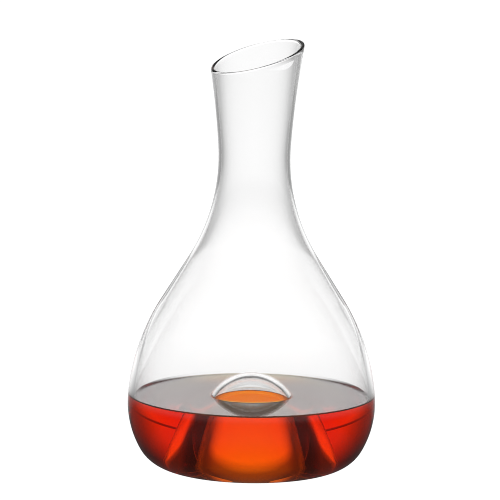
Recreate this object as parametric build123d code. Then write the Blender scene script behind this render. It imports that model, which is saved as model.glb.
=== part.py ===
from build123d import *
from math import cos, radians, sin
import os

# A wine decanter: one blown glass vessel with a pushed-up base, a flaring neck and a rim cut
# on the slant, holding red wine up to its widest point. Millimetres, +Z up, with the origin
# on the surface that it stands on, at the middle of the foot. The rim is high on +Y.

os.makedirs("parts", exist_ok=True)

# Bowl and neck, outside. A heading is the direction that the wall runs in, in degrees
# from straight outwards: 90 is straight up, and more than 90 leans in over the bowl.
BODY_RADIUS = 92.5
WAIST_RADIUS = 26.6
HEEL_HEADING = 60.5
BELLY_CURVE = 70.0
BELLY_HEADING = 95.0
SHOULDER_CURVE = 159.0
SLOPE_HEADING = 122.4
NECK_CURVE = 140.0
NECK_HEADING = 86.0
FLARE_CURVE = 700.0
FLARE_TURN = 8.5

# Bowl and neck, inside. The wall is thickest low in the bowl and thins towards the neck.
BELLY_WALL = 4.5
WAIST_WALL = 2.0
INNER_BELLY_CURVE = 65.5
INNER_SLOPE_HEADING = 120.2
INNER_FLARE_CURVE = 1120.0

# Foot and punt. The punt is the hollow pushed up into the base: a dome on a tapering flank.
FOOT_RADIUS = 58.5
FLOOR_WALL = 6.0
PUNT_HEIGHT = 70.0
PUNT_WALL = 4.0
PUNT_CURVE = 37.0
PUNT_TAPER = 25.0
VALLEY_CURVE = 10.0
FOOT_ROUND = 3.0

# Rim: a slanted cut through the flare, with its edges melted round.
RIM_HEIGHT = 307.0
RIM_SLANT = 18.2
RIM_ROUND = 1.3

# Wine, up to just above the widest point of the bowl.
WINE_LEVEL = 53.5


def run_on(edge, curve, turn):
    """An arc that carries on smoothly from the end of an edge; a positive turn is to the left."""
    return JernArc(edge @ 1, edge % 1, curve, turn)


def bowl_and_neck(base, body_radius, waist_radius, belly_curve, slope_heading, neck_curve, flare_curve):
    """One face of the wall, from the lowest point of the heel to above the rim."""
    lift = sin(radians(HEEL_HEADING))
    heel_curve = (body_radius - base.X - belly_curve * (1 - lift)) / lift
    heel = JernArc(base, (1, 0), heel_curve, HEEL_HEADING)
    belly = run_on(heel, belly_curve, BELLY_HEADING - HEEL_HEADING)
    shoulder = run_on(belly, SHOULDER_CURVE, slope_heading - BELLY_HEADING)
    lean = radians(slope_heading)
    inward = (shoulder @ 1).X - waist_radius - neck_curve * (1 - sin(lean))
    slope = Line(shoulder @ 1, shoulder @ 1 + (shoulder % 1) * (-inward / cos(lean)))
    neck = run_on(slope, neck_curve, NECK_HEADING - slope_heading)
    flare = run_on(neck, flare_curve, -FLARE_TURN)
    return [heel, belly, shoulder, slope, neck, flare]


def punt_side(height, curve, foot_level, foot_curve):
    """One face of the punt, from its crown down the flank to where its foot starts to round."""
    drop = radians(90 - PUNT_TAPER)
    dome = JernArc((0, height), (1, 0), curve, PUNT_TAPER - 90)
    fall = (dome @ 1).Y - foot_level - foot_curve * (1 - cos(drop))
    flank = Line(dome @ 1, dome @ 1 + (dome % 1) * (fall / sin(drop)))
    return [dome, flank]


def revolved(edges):
    """A solid of revolution from a run of edges that starts and ends on the axis."""
    ends = [edges[0] @ 0, edges[-1] @ 1]
    top = Line(ends[1], (0, ends[1].Y))
    axis = Line((0, ends[1].Y), ends[0])
    face = make_face(edges + [top, axis])
    return revolve(Plane.XZ * face, Axis.Z)


def outer_form():
    """The outside of the vessel, filled in: underside of the punt, foot, bowl and neck."""
    punt = punt_side(PUNT_HEIGHT - PUNT_WALL, PUNT_CURVE - PUNT_WALL, 0, 0)
    foot = Line(punt[-1] @ 1, (FOOT_RADIUS, 0))
    wall = bowl_and_neck(Vector(FOOT_RADIUS, 0), BODY_RADIUS, WAIST_RADIUS, BELLY_CURVE,
                         SLOPE_HEADING, NECK_CURVE, FLARE_CURVE)
    return revolved(punt + [foot] + wall)


def inner_form():
    """The space inside the vessel, filled in: over the punt, out along the floor and up."""
    punt = punt_side(PUNT_HEIGHT, PUNT_CURVE, FLOOR_WALL, VALLEY_CURVE)
    valley = run_on(punt[-1], VALLEY_CURVE, 90 - PUNT_TAPER)
    wall = bowl_and_neck(valley @ 1, BODY_RADIUS - BELLY_WALL, WAIST_RADIUS - WAIST_WALL,
                         INNER_BELLY_CURVE, INNER_SLOPE_HEADING, NECK_CURVE + WAIST_WALL,
                         INNER_FLARE_CURVE)
    return revolved(punt + [valley] + wall)


def rim_plane():
    """The slanted cut across the top of the flare, facing up and rising towards +Y."""
    slant = radians(RIM_SLANT)
    return Plane((0, 0, RIM_HEIGHT), x_dir=(1, 0, 0), z_dir=(0, -sin(slant), cos(slant)))


def glass_vessel():
    """The one-piece blown vessel, hollow and open at the rim."""
    wall = outer_form() - inner_form()
    cut = split(wall, bisect_by=rim_plane(), keep=Keep.BOTTOM)
    rim = cut.faces().sort_by(Axis.Z)[-1]
    melted = fillet(rim.edges(), RIM_ROUND)
    foot = melted.edges().group_by(Axis.Z)[0].sort_by(SortBy.RADIUS)[0]
    return fillet(foot, FOOT_ROUND)


def wine_fill():
    """The wine: all the space inside the vessel below the level, around the punt."""
    return split(inner_form(), bisect_by=Plane.XY.offset(WINE_LEVEL), keep=Keep.BOTTOM)


export_step(glass_vessel(), "parts/glass_vessel.step")
export_step(wine_fill(), "parts/wine_fill.step")
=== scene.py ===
"""The wine decanter as it looks: blown clear glass holding red wine, on a pale table that glows with painted
light and shade.
"""
from math import acos, cos, degrees, pi, radians, sin, sqrt, tan

import bmesh
import bpy
from mathutils import Matrix, Vector


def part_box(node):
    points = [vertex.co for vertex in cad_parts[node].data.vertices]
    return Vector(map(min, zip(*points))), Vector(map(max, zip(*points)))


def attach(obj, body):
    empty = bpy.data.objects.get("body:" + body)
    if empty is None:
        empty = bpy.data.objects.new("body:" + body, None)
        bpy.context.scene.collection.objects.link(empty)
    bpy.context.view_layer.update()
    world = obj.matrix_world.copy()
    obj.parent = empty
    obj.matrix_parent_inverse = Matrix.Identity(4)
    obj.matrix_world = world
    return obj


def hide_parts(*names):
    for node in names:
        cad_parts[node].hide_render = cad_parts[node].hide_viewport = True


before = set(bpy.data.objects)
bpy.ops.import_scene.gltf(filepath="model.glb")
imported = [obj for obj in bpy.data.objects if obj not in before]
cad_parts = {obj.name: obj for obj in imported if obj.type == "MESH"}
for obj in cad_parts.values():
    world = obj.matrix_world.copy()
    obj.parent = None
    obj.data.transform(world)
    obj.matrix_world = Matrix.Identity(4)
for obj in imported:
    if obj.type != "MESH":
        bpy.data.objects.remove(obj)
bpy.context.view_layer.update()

MM = 0.001

# ---------------------------------------------------------------------------------------
# Glass vessel: one gather of clear lead-free glass, blown into a broad bowl and drawn out
# to a slender neck. Its base is pushed up into a punt, and the flare is cut on the slant
# and fire polished, so that it pours from the high lip.
# ---------------------------------------------------------------------------------------
body_radius = 92.5 * MM
waist_radius = 26.6 * MM
foot_radius = 58.5 * MM
belly_wall = 4.5 * MM
waist_wall = 2.0 * MM
floor_wall = 6.0 * MM
punt_wall = 4.0 * MM
punt_height = 70.0 * MM
punt_curve = 37.0 * MM
punt_turn = 65.0
valley_curve = 10.0 * MM
foot_round = 3.0 * MM
heel_heading = 60.5
belly_heading = 95.0
shoulder_curve = 159.0 * MM
neck_heading = 86.0
rim_height = 307.0 * MM
rim_slant = 18.2
rim_round = 1.3 * MM
inside_belly_curve = 65.5 * MM
inside_slope_heading = 120.2
inside_neck_curve = 142.0 * MM
inside_flare_curve = 1120.0 * MM
outside_belly_curve = 70.0 * MM
outside_slope_heading = 122.4
outside_neck_curve = 140.0 * MM
outside_flare_curve = 700.0 * MM
glass_ior = 1.50
wine_ior = 1.344
sectors = 144


class Outline:
    """A line of edges drawn in the plane y = 0, as the wall runs in section. Its heading is in
    degrees from straight outwards, and an arc with a positive turn bends to the left."""

    def __init__(self, bm, radius, height):
        self.bm = bm
        self.tip = bm.verts.new((radius, 0, height))
        self.heading = 0.0

    def straight(self, length, parts=1):
        way = Vector((cos(radians(self.heading)), 0, sin(radians(self.heading))))
        for _ in range(parts):
            added = bmesh.ops.extrude_vert_indiv(self.bm, verts=[self.tip])
            self.tip = added["verts"][0]
            self.tip.co += way * (length / parts)

    def arc(self, curve, turn):
        left = Vector((-sin(radians(self.heading)), 0, cos(radians(self.heading))))
        centre = self.tip.co + left * (curve if turn > 0 else -curve)
        steps = max(4, round(abs(turn) / 2.5), round(abs(radians(turn)) * curve / (4 * MM)))
        added = bmesh.ops.spin(self.bm, geom=[self.tip], cent=centre, axis=(0, -1, 0),
                               angle=radians(turn), steps=steps)
        self.tip = next(item for item in added["geom_last"] if isinstance(item, bmesh.types.BMVert))
        self.heading += turn
        return centre


def draw_punt(line, crown_curve, foot_level, foot_curve):
    """One face of the punt: the domed crown, the flank, and the rounding at its foot."""
    line.arc(crown_curve, -punt_turn)
    turn = radians(punt_turn)
    fall = line.tip.co.z - foot_level - foot_curve * (1 - cos(turn))
    line.straight(fall / sin(turn), parts=10)
    line.arc(foot_curve, punt_turn)


def draw_bowl(line, widest, waist, belly_curve, slope_heading, neck_curve, flare_curve):
    """One face of the bowl and neck, from the lowest point of the heel to the rim's mean height."""
    lift = sin(radians(heel_heading))
    line.arc((widest - line.tip.co.x - belly_curve * (1 - lift)) / lift, heel_heading)
    belly_centre = line.arc(belly_curve, belly_heading - heel_heading)
    line.arc(shoulder_curve, slope_heading - belly_heading)
    lean = radians(slope_heading)
    inward = line.tip.co.x - waist - neck_curve * (1 - sin(lean))
    line.straight(-inward / cos(lean), parts=10)
    line.arc(neck_curve, neck_heading - slope_heading)
    rise = (rim_height - line.tip.co.z) / flare_curve
    flare_centre = line.arc(flare_curve, degrees(acos(cos(radians(neck_heading)) + rise)) - neck_heading)
    return belly_centre, flare_centre


def turn_round(bm, geom):
    """Turns an outline once round the axis, and welds its seam and poles."""
    bmesh.ops.spin(bm, geom=geom, cent=(0, 0, 0), axis=(0, 0, 1), angle=2 * pi, steps=sectors, use_merge=True)
    bmesh.ops.remove_doubles(bm, verts=bm.verts, dist=0.002 * MM)


def draw_inside(bm, clearance=0.0):
    """The face towards the wine, or one that stands off it into the bowl by the clearance."""
    line = Outline(bm, 0, punt_height + clearance)
    draw_punt(line, punt_curve + clearance, floor_wall + clearance, valley_curve - clearance)
    return draw_bowl(line, body_radius - belly_wall - clearance, waist_radius - waist_wall - clearance,
                     inside_belly_curve - clearance, inside_slope_heading,
                     inside_neck_curve + clearance, inside_flare_curve + clearance)


def draw_outside(bm):
    """The face towards the air and the table."""
    line = Outline(bm, 0, punt_height - punt_wall)
    draw_punt(line, punt_curve - punt_wall, 0, foot_round)
    line.straight(foot_radius - line.tip.co.x, parts=3)
    return draw_bowl(line, body_radius, waist_radius, outside_belly_curve, outside_slope_heading,
                     outside_neck_curve, outside_flare_curve)


def lean_flare(verts, flare_centre, flare_curve):
    """Leans the top of the flare onto the slanted cut, and keeps each point on the flare's arc."""
    waist_level = flare_centre.z + flare_curve * cos(radians(neck_heading))
    for vert in verts:
        share = (vert.co.z - waist_level) / (rim_height - waist_level)
        if share > 0:
            outwards = vert.co.xy.normalized()
            upright = vert.co.z
            for _ in range(8):
                level = upright + share ** 2 * tan(radians(rim_slant)) * vert.co.xy.length * outwards.y
                radius = flare_centre.x - sqrt(flare_curve ** 2 - (level - flare_centre.z) ** 2)
                vert.co = Vector((*(outwards * radius), level))


def make_piece(name, bm, *materials):
    """The finished mesh as an object at the origin, smooth, with its faces outwards."""
    bmesh.ops.recalc_face_normals(bm, faces=bm.faces)
    mesh = bpy.data.meshes.new(name)
    bm.to_mesh(mesh)
    bm.free()
    for material in materials:
        mesh.materials.append(material)
    mesh.shade_smooth()
    piece = bpy.data.objects.new(name, mesh)
    bpy.context.collection.objects.link(piece)
    return piece


ripple_scale = 22.0
ripple_depth = 0.04 * MM


def clear_finish(name, ior):
    """A clear, fire-polished finish that bends light by the given ratio, with a soft hand-blown ripple."""
    material = bpy.data.materials.new(name)
    material.use_nodes = True
    tree = material.node_tree
    shader = tree.nodes["Principled BSDF"]
    shader.inputs["Base Color"].default_value = (1, 1, 1, 1)
    shader.inputs["Roughness"].default_value = 0.0
    shader.inputs["IOR"].default_value = ior
    shader.inputs["Transmission Weight"].default_value = 1.0
    ripple = tree.nodes.new("ShaderNodeTexNoise")
    ripple.inputs["Scale"].default_value = ripple_scale
    ripple.inputs["Detail"].default_value = 1.0
    tree.links.new(tree.nodes.new("ShaderNodeTexCoord").outputs["Object"], ripple.inputs["Vector"])
    relief = tree.nodes.new("ShaderNodeBump")
    relief.inputs["Distance"].default_value = ripple_depth
    tree.links.new(ripple.outputs["Fac"], relief.inputs["Height"])
    tree.links.new(relief.outputs["Normal"], shader.inputs["Normal"])
    return material


bm = bmesh.new()
belly_centre, flare_centre = draw_inside(bm)
turn_round(bm, bm.verts[:] + bm.edges[:])
lean_flare(bm.verts, flare_centre, inside_flare_curve)

# Where the wine wets the glass: it climbs the wall in a curve that ends at the contact line.
wine_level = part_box("wine_fill")[1][2]
meniscus_curve = 3.3 * MM
wall_climb = 60.0
dome_climb = 32.0
wall_contact = wine_level + meniscus_curve * (1 - cos(radians(wall_climb)))
bmesh.ops.bisect_plane(bm, geom=bm.verts[:] + bm.edges[:] + bm.faces[:], dist=0.01 * MM,
                       plane_co=(0, 0, wall_contact), plane_no=(0, 0, 1))
dome_contact = wine_level + meniscus_curve * (1 - cos(radians(dome_climb)))
bmesh.ops.bisect_plane(bm, geom=bm.verts[:] + bm.edges[:] + bm.faces[:], dist=0.01 * MM,
                       plane_co=(0, 0, dome_contact), plane_no=(0, 0, 1))
for face in bm.faces:
    middle = face.calc_center_median()
    on_dome = middle.xy.length < foot_radius
    if middle.z < (dome_contact if on_dome else wall_contact):
        face.material_index = 1
bmesh.ops.recalc_face_normals(bm, faces=bm.faces)
bmesh.ops.reverse_faces(bm, faces=bm.faces)

inside = set(bm.verts) | set(bm.faces)
_, flare_centre = draw_outside(bm)
turn_round(bm, [vert for vert in bm.verts if vert not in inside]
           + [edge for edge in bm.edges if edge.is_wire])
lean_flare([vert for vert in bm.verts if vert not in inside], flare_centre, outside_flare_curve)
bmesh.ops.recalc_face_normals(bm, faces=[face for face in bm.faces if face not in inside])
rim_edges = [edge for edge in bm.edges if edge.is_boundary]
bmesh.ops.bridge_loops(bm, edges=rim_edges)
bmesh.ops.bevel(bm, geom=rim_edges, offset=rim_round, offset_type="OFFSET", segments=5, profile=0.5,
                affect="EDGES", material=-1)
glass = make_piece("blown_glass_vessel", bm, clear_finish("clear_glass", glass_ior),
                   clear_finish("glass_against_wine", glass_ior / wine_ior))
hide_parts("glass_vessel")
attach(glass, "root")

# ---------------------------------------------------------------------------------------
# Wine: one bottle of young red, clear and bright. It fills the bowl round the punt, up to
# the widest point, and it reddens with depth because it absorbs blue, then green.
# ---------------------------------------------------------------------------------------
wine_clearance = 0.03 * MM
skin_depth = 0.3 * MM
wine_colour = (0.98, 0.72, 0.0, 1)
wine_depth_of_colour = 110.0


def wine_finish():
    """The wine's colour, a little uneven where it clings to the glass. The gloss belongs to its surface."""
    material = bpy.data.materials.new("red_wine")
    material.use_nodes = True
    tree = material.node_tree
    shader = tree.nodes["Principled BSDF"]
    shader.inputs["Roughness"].default_value = 0.0
    shader.inputs["IOR"].default_value = 1.0
    shader.inputs["Transmission Weight"].default_value = 1.0
    cloud = tree.nodes.new("ShaderNodeTexNoise")
    cloud.inputs["Scale"].default_value = 30.0
    tree.links.new(tree.nodes.new("ShaderNodeTexCoord").outputs["Object"], cloud.inputs["Vector"])
    tint = tree.nodes.new("ShaderNodeValToRGB")
    tint.color_ramp.elements[0].color = (0.97, 0.93, 0.92, 1)
    tint.color_ramp.elements[1].color = (1, 1, 1, 1)
    tree.links.new(cloud.outputs["Fac"], tint.inputs["Fac"])
    tree.links.new(tint.outputs["Color"], shader.inputs["Base Color"])
    absorption = tree.nodes.new("ShaderNodeVolumeAbsorption")
    absorption.inputs["Color"].default_value = wine_colour
    absorption.inputs["Density"].default_value = wine_depth_of_colour
    tree.links.new(absorption.outputs["Volume"], tree.nodes["Material Output"].inputs["Volume"])
    return material


bm = bmesh.new()
draw_inside(bm, wine_clearance)
turn_round(bm, bm.verts[:] + bm.edges[:])
bmesh.ops.bisect_plane(bm, geom=bm.verts[:] + bm.edges[:] + bm.faces[:], dist=0.001 * MM, clear_outer=True,
                       plane_co=(0, 0, wine_level - skin_depth - wine_clearance), plane_no=(0, 0, 1))
bmesh.ops.bridge_loops(bm, edges=[edge for edge in bm.edges if edge.is_boundary])
wine = make_piece("red_wine_body", bm, wine_finish())
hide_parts("wine_fill")
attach(wine, "root")

# ---------------------------------------------------------------------------------------
# Wine surface: the level, glossy top of the wine, which curves up where it wets the wall
# of the bowl and, less steeply, where it wets the dome of the punt.
# ---------------------------------------------------------------------------------------
wall_radius = belly_centre.x + sqrt(inside_belly_curve ** 2 - (wall_contact - belly_centre.z) ** 2)
dome_radius = sqrt(punt_curve ** 2 - (dome_contact - (punt_height - punt_curve)) ** 2)

bm = bmesh.new()
line = Outline(bm, dome_radius + wine_clearance, dome_contact - skin_depth)
line.heading = -dome_climb
line.arc(meniscus_curve, dome_climb)
level_end = wall_radius - wine_clearance - meniscus_curve * sin(radians(wall_climb))
line.straight(level_end - line.tip.co.x, parts=12)
line.arc(meniscus_curve, wall_climb)
turn_round(bm, bm.verts[:] + bm.edges[:])
top = set(bmesh.ops.extrude_face_region(bm, geom=bm.faces[:], use_keep_orig=True)["geom"])
bmesh.ops.translate(bm, verts=[item for item in top if isinstance(item, bmesh.types.BMVert)],
                    vec=(0, 0, skin_depth))
for face in bm.faces:
    face.material_index = 0 if face in top else 1
surface = make_piece("red_wine_surface", bm, clear_finish("wine_against_air", wine_ior),
                     clear_finish("wine_within", 1.0))
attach(surface, "root")

# ---------------------------------------------------------------------------------------
# Studio light: a white sweep lit behind, dim sides and a dark ceiling, so that the clear walls
# show as fine grey lines. A "round" list gives the light by degrees round from the sweep, and
# an "up" list by the height that it comes from, as a sine.
# ---------------------------------------------------------------------------------------
sweep_azimuth = 53.5
sweep_way = Vector((-sin(radians(sweep_azimuth)), cos(radians(sweep_azimuth)), 0))
sweep_light = 1.35
world_round = ((180, 0.52), (120, 0.46), (83, 0.36), (60, 0.38),
               (46, 0.34), (40, 0.42), (34, 0.62), (26, 1.0))
tall_round = ((26, 0.0), (14, 1.0))
sweep_up = ((0.0, 0.80), (0.07, 0.85), (0.12, 1.0), (0.31, 1.0), (0.37, 0.30), (0.45, 0.10), (0.64, 0.07))
room_up = ((0.0, 0.85), (0.08, 0.72), (0.22, 0.35), (0.30, 0.12), (0.64, 0.07))


def ramp_along(tree, value, stops):
    """The grey that a value from 0 to 1 stands for, on a ramp with a stop at each place."""
    ramp = tree.nodes.new("ShaderNodeValToRGB")
    elements = ramp.color_ramp.elements
    while len(elements) < len(stops):
        elements.new(0.5)
    for element, (place, grey) in zip(elements, stops):
        element.position = place
        element.color = (grey, grey, grey, 1)
    tree.links.new(value, ramp.inputs["Fac"])
    return ramp.outputs["Color"]


def light_about(tree, place, centre, rounds):
    """The light at a place or in a direction, by how far round from the sweep it lies in degrees."""
    level = tree.nodes.new("ShaderNodeVectorMath")
    level.operation = "SUBTRACT"
    level.inputs[1].default_value = centre
    tree.links.new(place, level.inputs[0])
    flat = tree.nodes.new("ShaderNodeVectorMath")
    flat.operation = "MULTIPLY"
    flat.inputs[1].default_value = (1, 1, 0)
    tree.links.new(level.outputs["Vector"], flat.inputs[0])
    unit = tree.nodes.new("ShaderNodeVectorMath")
    unit.operation = "NORMALIZE"
    tree.links.new(flat.outputs["Vector"], unit.inputs[0])
    facing = tree.nodes.new("ShaderNodeVectorMath")
    facing.operation = "DOT_PRODUCT"
    facing.inputs[1].default_value = sweep_way
    tree.links.new(unit.outputs["Vector"], facing.inputs[0])
    share = tree.nodes.new("ShaderNodeMapRange")
    share.inputs["From Min"].default_value = -1.0
    tree.links.new(facing.outputs["Value"], share.inputs["Value"])
    return ramp_along(tree, share.outputs["Result"],
                      [((cos(radians(angle)) + 1) / 2, grey) for angle, grey in rounds])


def between(tree, factor, first, second):
    """A mix of two greys: the first where the factor is 0, and the second where it is 1."""
    mix = tree.nodes.new("ShaderNodeMix")
    mix.data_type = "RGBA"
    for socket, grey in zip((mix.inputs["Factor"], *(item for item in mix.inputs if item.type == "RGBA")),
                            (factor, first, second)):
        if isinstance(grey, bpy.types.NodeSocket):
            tree.links.new(grey, socket)
        else:
            socket.default_value = grey
    return next(item for item in mix.outputs if item.type == "RGBA")


world = bpy.data.worlds.new("studio")
world.use_nodes = True
bpy.context.scene.world = world
tree = world.node_tree
way = tree.nodes.new("ShaderNodeTexCoord").outputs["Generated"]
height = tree.nodes.new("ShaderNodeSeparateXYZ")
tree.links.new(way, height.inputs[0])
around = light_about(tree, way, (0, 0, 0), world_round)
upward = between(tree, light_about(tree, way, (0, 0, 0), tall_round),
                 ramp_along(tree, height.outputs["Z"], room_up),
                 ramp_along(tree, height.outputs["Z"], sweep_up))
light = between(tree, upward, (0, 0, 0, 1), around)
tree.links.new(light, tree.nodes["Background"].inputs["Color"])
tree.nodes["Background"].inputs["Strength"].default_value = sweep_light

# ---------------------------------------------------------------------------------------
# Table: a pale sheet that runs back into the sweep. It is no lamp, yet it glows, and its light and
# shade are painted into the glow. The sheet that the glass sees is painted bright behind, painted dark
# at its sides where dark cards would stand, and painted with a shade below the decanter. The sheet that
# the camera sees is painted white near the decanter and behind it, falling off to the sides farther out.
# ---------------------------------------------------------------------------------------
# The table's glow strength and its painted light: shade_grey is the painted shade below the decanter, and the
# round lists give the painted light and shade on the table by degrees round from the sweep.
table_light = 1.08
table_radius = 6.0
seen_depth = 0.2 * MM
through_glass_depth = 0.4 * MM
shade_grey = 0.06
white_centre_back = 0.15
near_round = ((180, 0.20), (135, 0.12), (115, 0.05), (64, 0.07),
              (46, 0.22), (36, 0.50), (26, 0.90), (18, 1.0))
seen_round = ((180, 0.56), (120, 0.49), (83, 0.38), (60, 0.40), (46, 0.36), (40, 0.45), (34, 0.66), (26, 1.0))
far_round = ((180, 0.55), (120, 0.50), (83, 0.40), (60, 0.36), (35, 0.30),
             (20, 0.31), (13, 0.45), (6, 0.78), (2, 0.96))
middle_round = ((180, 0.55), (120, 0.50), (60, 0.38), (40, 0.45), (32, 0.75), (24, 1.12))


def table_sheet(name, depth):
    """One round sheet of table, with an empty glowing finish to be filled in."""
    bm = bmesh.new()
    bmesh.ops.create_circle(bm, cap_ends=True, segments=96, radius=table_radius,
                             matrix=Matrix.Translation((0, 0, -depth)))
    finish = bpy.data.materials.new(name)
    finish.use_nodes = True
    tree = finish.node_tree
    tree.nodes.remove(tree.nodes["Principled BSDF"])
    glow = tree.nodes.new("ShaderNodeEmission")
    glow.inputs["Strength"].default_value = table_light
    tree.links.new(glow.outputs["Emission"], tree.nodes["Material Output"].inputs["Surface"])
    sheet = make_piece(name, bm, finish)
    return sheet, tree, tree.nodes.new("ShaderNodeTexCoord").outputs["Object"], glow.inputs["Color"]


def farness(tree, place, nearest, farthest):
    """Runs from 0 to 1 as a place goes from the nearest to the farthest distance from the axis."""
    distance = tree.nodes.new("ShaderNodeVectorMath")
    distance.operation = "LENGTH"
    tree.links.new(place, distance.inputs[0])
    ease = tree.nodes.new("ShaderNodeMapRange")
    ease.interpolation_type = "SMOOTHSTEP"
    ease.inputs["From Min"].default_value = nearest
    ease.inputs["From Max"].default_value = farthest
    tree.links.new(distance.outputs["Value"], ease.inputs["Value"])
    return ease.outputs["Result"]


def zoned_light(tree, place, light, zones):
    """The light and shade painted into the table's glow, ring by ring: each zone takes over from the one
    inside it.
    """
    for nearest, farthest, centre, rounds in zones:
        light = between(tree, farness(tree, place, nearest, farthest), light,
                        light_about(tree, place, centre, rounds))
    return light


# The sheet that the camera sees, hidden from the glass: painted white round a centre behind the decanter,
# then painted fall-off of light to the sides and far away.
sheet, tree, place, glow = table_sheet("painted_light_table_seen", seen_depth)
sheet.visible_transmission = False
sheet.visible_glossy = False
moved = tree.nodes.new("ShaderNodeMapping")
moved.inputs["Location"].default_value = sweep_way * -white_centre_back
tree.links.new(place, moved.inputs["Vector"])
white_and_painted_falloff = between(tree, farness(tree, moved.outputs["Vector"], 0.34, 0.62), (1, 1, 1, 1),
                light_about(tree, place, Vector(), middle_round))
tree.links.new(zoned_light(tree, place, white_and_painted_falloff, [(1.5, 2.5, Vector(), seen_round)]), glow)

# The sheet that only the glass sees: a painted shade under the decanter (shade_grey), then rings of painted
# light, bright behind and painted dark to the sides and front.
sheet, tree, place, glow = table_sheet("painted_light_table_through_glass", through_glass_depth)
sheet.visible_camera = False
zones = ((0.09, 0.17, sweep_way * 0.05, near_round), (0.30, 0.60, Vector(), middle_round),
         (1.1, 1.8, Vector(), far_round))
tree.links.new(zoned_light(tree, place, (shade_grey, shade_grey, shade_grey, 1), zones), glow)

# ---------------------------------------------------------------------------------------
# Camera: a long lens set back and a little above the rim, looking down enough to show the
# top of the wine. It is rolled slightly, so that the decanter leans a little to one side.
# ---------------------------------------------------------------------------------------
camera_distance = 2.227
camera_pitch = 8.02
camera_roll = 0.72
aim_height = 163.2 * MM
aim_aside = 2.46 * MM

aside = Vector((cos(radians(sweep_azimuth)), sin(radians(sweep_azimuth)), 0))
look = sweep_way * cos(radians(camera_pitch)) - Vector((0, 0, sin(radians(camera_pitch))))
overhead = aside.cross(look)
aim = Vector((0, 0, aim_height)) - aside * aim_aside
turned = Matrix((aside, overhead, -look)).transposed() @ Matrix.Rotation(radians(camera_roll), 3, "Z")
lens = bpy.data.cameras.new("camera")
lens.lens = 216.0
lens.sensor_width = 36.0
camera = bpy.data.objects.new("camera", lens)
camera.matrix_world = Matrix.Translation(aim - look * camera_distance) @ turned.to_4x4()
bpy.context.collection.objects.link(camera)
scene = bpy.context.scene
scene.camera = camera
scene.view_settings.view_transform = "Standard"
scene.cycles.max_bounces = 48
scene.cycles.transmission_bounces = 48
scene.cycles.glossy_bounces = 32
scene.cycles.transparent_max_bounces = 48
scene.cycles.volume_bounces = 0
scene.cycles.filter_width = 1.0
